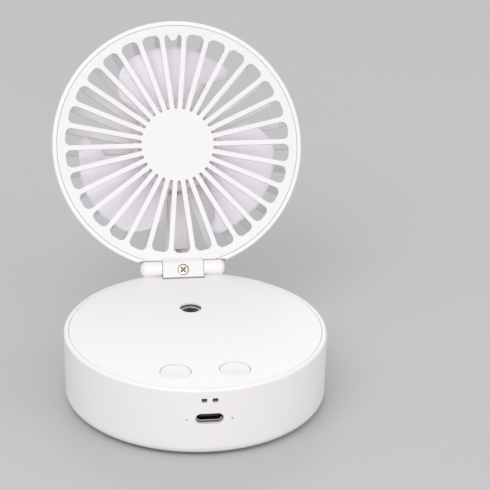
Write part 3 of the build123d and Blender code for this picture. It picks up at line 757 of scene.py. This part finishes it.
# painted shade: a darker brown copy of the screw metal, with darker patches, for the cross recess and a
# ring at the head's edge
SCREW_PAINTED_SHADE = Metal("screw_painted_shade", (0.5, 0.38, 0.34), roughness=0.6, tarnish=(0.06, 0.03, 0.02))
STEEL = Metal("turned_steel", (0.56, 0.56, 0.57), roughness=0.22)
CORE = Metal("core_steel", (0.24, 0.24, 0.25), roughness=0.4)
GOLD = Metal("gold_contact", (0.83, 0.62, 0.26), roughness=0.2)
BRONZE = Metal("sintered_bronze", (0.52, 0.36, 0.18), roughness=0.45)
FOOT = Rubber("foot_rubber", (0.018, 0.018, 0.018), (0.06, 0.06, 0.06))
SEAL = Rubber("seal_silicone", (0.10, 0.10, 0.105))
LEAD = Rubber("lead_sleeve", (0.62, 0.60, 0.60), (0.7, 0.69, 0.69))
BOARD = Laminate("board_mask", (0.01, 0.11, 0.045), (0.03, 0.2, 0.08))
COTTON = Fibre("wick_cotton", (0.78, 0.76, 0.7), (0.5, 0.48, 0.42))
COPPER = Fibre("coil_copper", (0.55, 0.2, 0.09), (0.16, 0.05, 0.03), 2.2e-4, roughness=0.3, metallic=1.0)

_made: dict[str, bpy.types.Material] = {}


def made(finish: Finish) -> bpy.types.Material:
    """Make the material of a finish once, and share it from then on.

    Args:
        finish: The finish.

    Returns:
        Its material.
    """
    if finish.name not in _made:
        _made[finish.name] = finish.make()
    return _made[finish.name]


def dress(piece: bpy.types.Object, *finishes: Finish) -> None:
    """Give a piece its finishes, one material slot for each.

    Args:
        piece: The object to dress.
        finishes: The finishes, in the order of the faces' material numbers.
    """
    piece.data.materials.clear()
    for finish in finishes:
        piece.data.materials.append(made(finish))


def fit_in(piece: bpy.types.Object, body: str, node: str | None) -> bpy.types.Object:
    """Tie a new piece to its body, and hide the CAD node that it stands for.

    Args:
        piece: The new object.
        body: The body that it rides on.
        node: The CAD node that it replaces, if any.

    Returns:
        The same piece.
    """
    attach(piece, body)
    if node:
        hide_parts(node)
    return piece


KEPT_FINISHES: dict[str, Finish] = {
    "base_shell": WHITE,
    "top_deck": DECK_PAINTED_LIGHT,
    "foot_ring": FOOT,
    "base_screws": SCREW,
    "battery_cell": WRAP,
    "main_circuit_board": BOARD,
    "button_switches": BLACK_PLASTIC,
    "indicator_leds": CLEAR,
    "led_light_guides": SMOKED,
    "atomizer_seal": SEAL,
    "atomizer_retainer": NATURAL,
    "cotton_wick": COTTON,
    "water_tank": CLEAR,
    "tank_fill_plug": SEAL,
    "hinge_pins": STEEL,
    "front_grille": COVER,
    "rear_housing": WHITE,
    "hinge_bushes": NATURAL,
    "stator_core": CORE,
    "stator_coils": COPPER,
    "motor_board": BOARD,
    "motor_bearing": BRONZE,
    "motor_lead": LEAD,
    "rotor_can": CORE,
    "magnet_ring": MAGNET,
    "motor_shaft": STEEL,
    "shaft_clip": STEEL,
    "thrust_washer": NATURAL,
    "power_switch_plunger": BLACK_PLASTIC,
    "mist_switch_plunger": BLACK_PLASTIC,
}


# ---------------------------------------------------------------- sub-assemblies
@dataclass
class CarriedNodes:
    """The CAD nodes that are shown as they are, each with its own finish."""

    finishes: dict[str, Finish]
    socket: str = "usb_c_socket"

    def build(self) -> int:
        """Dress every kept node.

        Returns:
            How many nodes there are.
        """
        low, high = node_box(self.socket)
        steel = SocketSteel("socket_steel", low[1], (low[2] + high[2]) / 2)
        finishes = {**self.finishes, self.socket: steel}
        for node, finish in finishes.items():
            dress(frame["nodes"][node], finish)
        return len(finishes)


@dataclass
class Button:
    """A round button cap with a shallow finger dish and its stem."""

    node: str
    body: str
    dish_depth: float = 0.16
    dish_share: float = 0.8
    dish_power: float = 1.5
    dish_points: int = 14
    edge: float = 0.32
    under_edge: float = 0.15
    stem_edge: float = 0.2
    cap_thickness: float = 2.4
    stem_radius: float = 2.5
    steps: int = 96

    def profile(self, radius: float, top: float, bottom: float) -> np.ndarray:
        """Return the outline: dish, rim, side and stem.

        The dish is z = top - depth * (1 - (r / dish radius)^2) to a power that eases its edge.

        Args:
            radius: The cap's radius.
            top: The height of its rim.
            bottom: The height of the stem's end.

        Returns:
            An array of (radius, z) points.
        """
        r = np.linspace(0, radius * self.dish_share, self.dish_points)
        dip = (1 - (r / r[-1]) ** 2) ** self.dish_power
        dish = np.stack([r, top - self.dish_depth * dip], -1)
        under = top - self.cap_thickness
        side = softened(
            [
                (r[-1], top, 0),
                (radius, top, self.edge),
                (radius, under, self.under_edge),
                (self.stem_radius, under, self.stem_edge),
                (self.stem_radius, bottom, self.stem_edge),
                (0, bottom, 0),
            ]
        )
        return np.concatenate([dish, side[1:]])

    def build(self) -> bpy.types.Object:
        """Make the button in place of its CAD node.

        Returns:
            The button.
        """
        low, high = node_box(self.node)
        centre = (low + high) / 2
        outline = self.profile((high[0] - low[0]) / 2, high[2], low[2])
        seat = Seat((centre[0], centre[1], 0.0))
        piece = Shape().add(turned(outline, self.steps)).build(f"{self.node}_cap", seat)
        dress(piece, BUTTON)
        return fit_in(piece, self.body, self.node)


@dataclass
class TongueScrew:
    """The cross-head screw in the tongue, with its recess pressed into a low dome."""

    seat: Seat
    node: str = "tongue_screw"
    dome: float = 0.14
    face_share: float = 0.96
    recess_reach: float = 1.3
    recess_half: float = 0.21
    recess_depth: float = 0.9
    recess_turn: float = 42.0
    wall_slope: float = 3.0
    dark_below: float = 0.12
    edge_band: float = 0.2
    edge_drop: float = 0.05
    edge: float = 0.06
    under_edge: float = 0.05
    tip_edge: float = 0.1
    head_thickness: float = 0.95
    shank_radius: float = 1.0
    rings: int = 40
    steps: int = 160
    sharp_degrees: float = 50.0

    def recess(self, x: np.ndarray, y: np.ndarray) -> np.ndarray:
        """Return how deep the recess is at each point.

        Each arm has depth * ramp * (1 - (along / reach)^2). The ramp is 1 up to the half width
        and falls to 0 over a third of it further out. The deeper of the two arms counts.

        Args:
            x: The points' places across the head.
            y: The same, along the head's other direction.

        Returns:
            The depth at each point.
        """
        turn = math.radians(self.recess_turn)
        p = x * math.cos(turn) + y * math.sin(turn)
        q = y * math.cos(turn) - x * math.sin(turn)
        arms = []
        for along, across in ((p, q), (q, p)):
            inside = (self.recess_half - np.abs(across)) / self.recess_half
            ramp = np.clip(inside * self.wall_slope + 1, 0, 1)
            arms.append(ramp * np.clip(1 - (along / self.recess_reach) ** 2, 0, 1))
        return self.recess_depth * np.maximum(*arms)

    def surface(self, radius: float, top: float, end: float) -> np.ndarray:
        """Return the screw as one closed grid: z = top - dome * (r / radius)^2 - recess, side, shank.

        Args:
            radius: The head's radius.
            top: The height of the dome.
            end: The height of the shank's end.

        Returns:
            A grid of points about the screw's own axis.
        """
        r = np.linspace(0, radius * self.face_share, self.rings)
        crown = top - self.dome * (r / radius) ** 2
        face = turned(np.stack([r, crown], -1), self.steps)
        face[..., 2] -= self.recess(face[..., 0], face[..., 1])
        under = top - self.head_thickness
        side = softened(
            [
                (r[-1], crown[-1], 0),
                (radius, crown[-1] - self.edge_drop, self.edge),
                (radius, under, self.under_edge),
                (self.shank_radius, under, self.under_edge),
                (self.shank_radius, end, self.tip_edge),
                (0, end, 0),
            ]
        )
        return np.concatenate([face, turned(side[1:], self.steps)])

    def build(self) -> bpy.types.Object:
        """Make the screw in place of its CAD node.

        Returns:
            The screw.
        """
        low, high = node_box(self.node, self.seat)
        centre = np.array([(low[0] + high[0]) / 2, (low[1] + high[1]) / 2, 0.0])
        radius = (high[0] - low[0]) / 2
        top = high[2]
        grid = self.surface(radius, top, low[2]) + centre
        piece = Shape().add(grid).build("tongue_cross_screw", self.seat, self.sharp_degrees)
        dress(piece, SCREW, SCREW_PAINTED_SHADE)
        self.darken(piece, centre, radius, top)
        return fit_in(piece, "head", self.node)

    def darken(self, piece: bpy.types.Object, centre: np.ndarray, radius: float, top: float) -> None:
        """Give the recess and a thin band at the edge the second finish, a darker brown copy of the screw
        metal that is painted shade.

        Args:
            piece: The screw.
            centre: Its axis, in the seat's frame.
            radius: The head's radius.
            top: The height of the dome.
        """
        flat = np.empty(len(piece.data.polygons) * 3, np.float32)
        piece.data.polygons.foreach_get("center", flat)
        spots = self.seat.measure(flat.reshape(-1, 3) / MM) - centre
        reach = np.hypot(spots[:, 0], spots[:, 1])
        low = spots[:, 2] < top - self.dome - self.dark_below
        # painted shade goes in the recess and in a thin ring at the head's edge
        dark = (reach < self.recess_reach) & low | (reach > radius - self.edge_band)
        piece.data.polygons.foreach_set("material_index", dark.astype(np.int32))


@dataclass
class MistPlate:
    """The vibrating plate seen down the mist outlet, with its pressed rings."""

    node: str = "atomizer_disc"
    middle_radius: float = 1.55
    sunk_ring_radius: float = 2.95
    dome: float = 0.14
    step: float = 0.12
    step_run: float = 0.1
    step_edge: float = 0.06
    rim_edge: float = 0.08
    dome_points: int = 10
    steps: int = 96

    def profile(self, radius: float, top: float, under: float) -> np.ndarray:
        """Return the outline: a domed middle, a sunk ring and a flat rim.

        Args:
            radius: The plate's radius.
            top: The height of the rim.
            under: The height of the underside.

        Returns:
            An array of (radius, z) points.
        """
        r = np.linspace(0, self.middle_radius, self.dome_points)
        sunk = top - self.step
        middle = np.stack([r, sunk + self.dome * (1 - (r / self.middle_radius) ** 2)], -1)
        rest = softened(
            [
                (self.middle_radius, sunk, 0),
                (self.sunk_ring_radius, sunk, self.step_edge),
                (self.sunk_ring_radius + self.step_run, top, self.step_edge),
                (radius, top, self.rim_edge),
                (radius, under, self.rim_edge),
                (0, under, 0),
            ]
        )
        return np.concatenate([middle, rest[1:]])

    def build(self) -> bpy.types.Object:
        """Make the plate in place of its CAD node.

        Returns:
            The plate.
        """
        low, high = node_box(self.node)
        centre = (low + high) / 2
        outline = self.profile((high[0] - low[0]) / 2, high[2], low[2])
        seat = Seat((centre[0], centre[1], 0.0))
        piece = Shape().add(turned(outline, self.steps)).build("mist_plate", seat)
        spot = (centre[0], centre[1])
        dress(piece, PiezoPlate("piezo_plate", spot, self.middle_radius, self.sunk_ring_radius))
        return fit_in(piece, "base", self.node)


@dataclass
class SocketContacts:
    """The gold contact strips on both faces of the socket's tongue."""

    node: str = "usb_c_socket"
    count: int = 12
    spacing: float = 0.5
    width: float = 0.26
    length: float = 3.6
    proud: float = 0.04
    sunk: float = 0.02
    top_share: float = 0.8
    tongue_half: float = 0.35
    set_back: float = 1.1

    def strip(self, x: float, face: int, middle: float, start: float) -> np.ndarray:
        """Return one strip: a section of four corners carried along y and drawn in at both ends.

        Args:
            x: The strip's place across the tongue.
            face: 1 for the tongue's upper face and -1 for its lower one.
            middle: The height of the tongue's middle.
            start: Where the strip starts along y.

        Returns:
            A grid of four loops of four points.
        """
        inner = middle + face * (self.tongue_half - self.sunk)
        outer = middle + face * (self.tongue_half + self.proud)
        ring = np.array([[-1, 0], [1, 0], [self.top_share, 1], [-self.top_share, 1]])
        section = np.stack([x + ring[:, 0] * self.width / 2, inner + (outer - inner) * ring[:, 1]], -1)
        drawn_in = np.array([0.0, 1.0, 1.0, 0.0])[:, None, None]
        loops = section.mean(0) + (section - section.mean(0)) * drawn_in
        y = start + np.array([0, 0, self.length, self.length])[:, None, None] + 0 * loops[..., :1]
        return np.concatenate([loops[..., :1], y, loops[..., 1:]], -1)

    def build(self) -> bpy.types.Object:
        """Make the strips on both faces.

        Returns:
            The strips, as one piece.
        """
        low, high = node_box(self.node)
        middle = (low[2] + high[2]) / 2
        start = low[1] + self.set_back
        shape = Shape()
        for face in (-1, 1):
            for number in range(self.count):
                x = (number - (self.count - 1) / 2) * self.spacing
                shape.add(self.strip(x, face, middle, start))
        piece = shape.build("socket_contacts", Seat())
        dress(piece, GOLD)
        return fit_in(piece, "base", None)


@dataclass
class Impeller:
    """The hub cap and three paddle blades, worked out in the head's frame."""

    seat: Seat
    hub_radius: float = 16.1
    hub_front: float = 2.6
    hub_rear: float = 12.6
    hub_wall: float = 1.2
    sleeve_outer: float = 12.1
    sleeve_inner: float = 10.92
    sleeve_rear: float = 11.2
    hub_edge: float = 1.3
    crown_share: float = 0.7
    crown_drop: float = 0.25
    crown_points: int = 12
    rim_edge: float = 0.3
    inside_edge: float = 0.5
    sleeve_edge: float = 0.2
    seam_edge: float = 0.1
    hub_steps: int = 160
    sharp_degrees: float = 40.0
    blade_front: float = 5.3
    blade_rear: float = 11.9
    thickness: float = 1.25
    root_gain: float = 1.25
    tip_loss: float = 0.45
    side_sharpness: float = 9.0
    tip_sharpness: float = 11.0
    camber: float = 0.9
    blades: int = 3
    first_blade: float = 96.0
    along: int = 44
    across: int = 48
    leading: tuple[tuple[float, float], ...] = (
        (-25.2, 15.4), (-30.0, 23.0), (-31.0, 25.5), (-36.0, 27.0), (-38.0, 28.5), (-41.0, 30.5),
        (-43.5, 31.5),
    )
    tip: tuple[tuple[float, float], ...] = (
        (-43.5, 31.5), (-44.3, 33.0), (-43.6, 34.6), (-41.0, 35.8), (-37.0, 36.1), (-28.0, 36.4),
        (-20.0, 37.0), (-10.0, 37.7), (2.0, 37.6), (10.0, 37.3), (19.0, 37.0), (22.0, 36.5),
        (27.0, 35.2), (31.5, 33.3), (35.0, 31.9),
    )
    trailing: tuple[tuple[float, float], ...] = ((43.0, 15.4), (41.0, 22.0), (40.8, 27.4), (35.0, 31.9))

    def edge(self, polar: tuple[tuple[float, float], ...], count: int) -> np.ndarray:
        """Return a smooth curve through (degrees, radius) points, as x and y."""
        spots = [(r * math.cos(math.radians(a)), r * math.sin(math.radians(a))) for a, r in polar]
        return through(spots, count)

    def outline_patch(self) -> np.ndarray:
        """Fill the blade's outline with a Coons patch.

        With u across and v outwards, the point is (1-v) root(u) + v tip(u) + (1-u) lead(v)
        + u trail(v), less the same blend of the four corners.

        Returns:
            A grid of (x, y) points, along by across.
        """
        lead = self.edge(self.leading, self.along)
        trail = self.edge(self.trailing, self.along)
        tip = self.edge(self.tip, self.across)
        angles = np.radians(np.linspace(self.leading[0][0], self.trailing[0][0], self.across))
        root = self.leading[0][1] * np.stack([np.cos(angles), np.sin(angles)], -1)
        u = np.linspace(0, 1, self.across)[None, :, None]
        v = np.linspace(0, 1, self.along)[:, None, None]
        ruled_v = (1 - v) * root[None] + v * tip[None]
        ruled_u = (1 - u) * lead[:, None] + u * trail[:, None]
        corners = (1 - v) * ((1 - u) * root[0] + u * root[-1]) + v * ((1 - u) * tip[0] + u * tip[-1])
        return ruled_v + ruled_u - corners

    def blade_surface(self) -> np.ndarray:
        """Return one blade as a closed grid: its front face out and its back face home.

        Height = middle + rise * w + camber * (1 - w^2), where w runs from -1 at the leading edge
        to 1 at the trailing edge. With e rising from 0 at the edge to 1 a little way in, half the
        thickness is multiplied by sqrt(1 - (1 - e)^2), a quarter of a circle, which rounds the
        edge. The blade also thins from its root to its tip.

        Returns:
            A grid of points in the head's frame.
        """
        flat = self.outline_patch()
        w = np.linspace(-1, 1, self.across)[None, :]
        v = np.linspace(0, 1, self.along)[:, None]
        middle = -(self.blade_front + self.blade_rear) / 2
        rise = (self.blade_rear - self.blade_front - self.thickness - self.camber) / 2
        height = middle + rise * w + self.camber * (1 - w ** 2) + 0 * v
        sides = np.clip((1 - np.abs(w)) * self.side_sharpness, 0, 1)
        edge = sides * np.clip((1 - v) * self.tip_sharpness, 0, 1)
        rounded = (1 - (1 - edge) ** 2) ** 0.5
        half = self.thickness / 2 * rounded * (self.root_gain - self.tip_loss * v)
        front = np.concatenate([flat, (height + half)[..., None]], -1)
        back = np.concatenate([flat, (height - half)[..., None]], -1)
        return np.concatenate([front, back[:, ::-1]], axis=1)

    def hub_profile(self) -> np.ndarray:
        """Return the hub's outline: a slightly crowned face, outer wall, inside and rotor sleeve.

        The face is z = front - drop * (r / hub radius)^2 out to the share that is crowned.

        Returns:
            An array of (radius, z) points.
        """
        front = -self.hub_front
        inside = front - self.hub_wall
        inner = self.hub_radius - self.hub_wall
        r = np.linspace(0, self.hub_radius * self.crown_share, self.crown_points)
        crown = np.stack([r, front - self.crown_drop * (r / self.hub_radius) ** 2], -1)
        side = softened(
            [
                (r[-1], crown[-1, 1], 0),
                (self.hub_radius, front - self.crown_drop, self.hub_edge),
                (self.hub_radius, -self.hub_rear, self.rim_edge),
                (inner, -self.hub_rear, self.rim_edge),
                (inner, inside, self.inside_edge),
                (self.sleeve_outer, inside, self.rim_edge),
                (self.sleeve_outer, -self.sleeve_rear, self.sleeve_edge),
                (self.sleeve_inner, -self.sleeve_rear, self.sleeve_edge),
                (self.sleeve_inner, inside, self.seam_edge),
                (0, inside, 0),
            ]
        )
        return np.concatenate([crown, side[1:]])

    def turned_by(self, surface: np.ndarray, degrees: float) -> np.ndarray:
        """Return the surface turned about the fan's axis."""
        c, s = math.cos(math.radians(degrees)), math.sin(math.radians(degrees))
        return surface @ np.array([[c, s, 0], [-s, c, 0], [0, 0, 1]])

    def build(self) -> bpy.types.Object:
        """Make the impeller in place of its CAD node.

        Returns:
            The impeller.
        """
        shape = Shape().add(turned(self.hub_profile(), self.hub_steps))
        blade = self.blade_surface()
        for index in range(self.blades):
            turn = self.first_blade + index * 360 / self.blades
            shape.add(self.turned_by(blade, turn))
        piece = shape.build("paddle_impeller", self.seat, self.sharp_degrees)
        dress(piece, BLADE)
        return fit_in(piece, "rotor", "impeller")


# ---------------------------------------------------------------- studio
@dataclass(frozen=True)
class Lamp:
    """A square soft lamp that faces the fan."""

    name: str
    place: tuple[float, float, float]
    side: float
    watts: float
    aim: tuple[float, float, float] = (0.0, 0.0, 0.05)

    def hang(self) -> None:
        """Make the lamp and turn it towards its aim."""
        data = bpy.data.lights.new(self.name, "AREA")
        data.shape = "SQUARE"
        data.size = self.side
        data.energy = self.watts
        lamp = bpy.data.objects.new(self.name, data)
        bpy.context.scene.collection.objects.link(lamp)
        lamp.location = self.place
        away = np.array(self.place) - np.array(self.aim)
        lamp.rotation_euler = Vector(away).to_track_quat("Z", "Y").to_euler()


LAMPS = (
    Lamp("key_lamp", (-0.35, -0.45, 0.85), 0.6, 2.5),
    Lamp("front_lamp", (-0.15, -0.95, 0.2), 0.7, 2.7),
    Lamp("fill_lamp", (0.7, -0.5, 0.45), 0.6, 1.2),
    Lamp("rim_lamp", (0.1, 0.75, 0.75), 0.5, 1.5),
)


@dataclass
class Studio:
    """Pale floor, soft lamps and the camera that the photograph was taken from."""

    azimuth: float = -7.64
    elevation: float = 24.65
    roll: float = 1.17
    distance: float = 810.6
    target: tuple[float, float, float] = (16.83, 0.0, 57.03)
    focal_pixels: float = 2350.0
    frame_pixels: float = 490.0
    sensor: float = 36.0
    clip: tuple[float, float] = (0.05, 20.0)
    floor_colour: Colour = (0.52, 0.52, 0.53)
    floor_drift: float = 0.97
    floor_roughness: float = 0.7
    floor_half: float = 3000.0
    floor_gap: float = 0.02
    speck_scale: float = 6.0
    speck_detail: float = 3.0
    room_colour: Colour = (1.0, 0.99, 0.985)
    room_strength: float = 0.72

    def floor(self) -> None:
        """Lay a large plane just under the foot ring."""
        side = np.linspace(-self.floor_half, self.floor_half, 3)
        x, y = np.meshgrid(side, side, indexing="ij")
        flat = np.stack([x, y, 0 * x - self.floor_gap], -1)
        piece = Shape().add(flat, closed=False).build("studio_floor", Seat())
        bench = Bench("floor_paint")
        speck = bench.noise(self.speck_scale, self.speck_detail)
        darker = tuple(part * self.floor_drift for part in self.floor_colour)
        paint = bench.mix(speck, self.floor_colour, darker)
        bench.feed(Base_Color=paint, Roughness=self.floor_roughness)
        piece.data.materials.append(bench.material)

    def world(self) -> None:
        """Fill the room with even light."""
        world = bpy.data.worlds.new("room")
        bpy.context.scene.world = world
        world.use_nodes = True
        background = world.node_tree.nodes["Background"]
        background.inputs["Color"].default_value = (*self.room_colour, 1)
        background.inputs["Strength"].default_value = self.room_strength

    def camera(self) -> None:
        """Set the camera: it looks along its own -z at the target, then rolls."""
        az, el, roll = (math.radians(v) for v in (self.azimuth, self.elevation, self.roll))
        back = np.array([math.sin(az) * math.cos(el), -math.cos(az) * math.cos(el), math.sin(el)])
        level = np.cross(-back, [0, 0, 1])
        level /= np.linalg.norm(level)
        upright = np.cross(level, -back)
        right = level * math.cos(roll) + upright * math.sin(roll)
        up = upright * math.cos(roll) - level * math.sin(roll)
        place = (np.array(self.target) + back * self.distance) * MM
        data = bpy.data.cameras.new("view")
        data.sensor_width = self.sensor
        data.lens = self.focal_pixels * self.sensor / self.frame_pixels
        data.clip_start, data.clip_end = self.clip
        camera = bpy.data.objects.new("view", data)
        bpy.context.scene.collection.objects.link(camera)
        matrix = np.eye(4)
        matrix[:3, 0], matrix[:3, 1], matrix[:3, 2], matrix[:3, 3] = right, up, back, place
        camera.matrix_world = Matrix(matrix.tolist())
        bpy.context.scene.camera = camera

    def build(self) -> None:
        """Set up the whole studio."""
        bpy.context.scene.view_settings.view_transform = "Standard"
        self.floor()
        self.world()
        for lamp in LAMPS:
            lamp.hang()
        self.camera()


def main() -> None:
    """Build the sub-assemblies in order."""
    logging.basicConfig(level=logging.INFO, format="%(name)s: %(message)s")
    seat = head_seat()
    log.info("kept nodes dressed: %d", CarriedNodes(KEPT_FINISHES).build())
    pieces = [
        Button("power_button", "power_key").build(),
        Button("mist_button", "mist_key").build(),
        MistPlate().build(),
        SocketContacts().build(),
        TongueScrew(seat).build(),
        Impeller(seat).build(),
    ]
    for piece in pieces:
        log.info("%s: %d faces", piece.name, len(piece.data.polygons))
    Studio().build()


if __name__ == "__main__":
    main()
